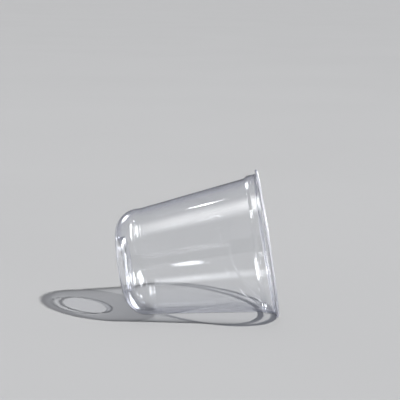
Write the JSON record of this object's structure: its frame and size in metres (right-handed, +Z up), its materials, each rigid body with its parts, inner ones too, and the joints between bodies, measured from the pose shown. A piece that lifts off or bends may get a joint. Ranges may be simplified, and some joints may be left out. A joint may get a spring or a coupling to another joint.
{
  "type": "plastic cup",
  "caption": "Clear plastic cold drink cup: tapered wall, round heel, pushed-up base, stacking shoulder, and a flat lip that takes a clip-on lid.",
  "frame": {"origin": "centre of the foot ring, on the surface that the cup stands on", "axes": "+Z up along the cup's axis, out of its mouth"},
  "size_m": [0.098, 0.098, 0.0984],
  "materials": {
    "clear_plastic": "clear, smooth and glossy"
  },
  "bodies": {
    "root": {"cup": "clear_plastic"}
  },
  "joints": []
}
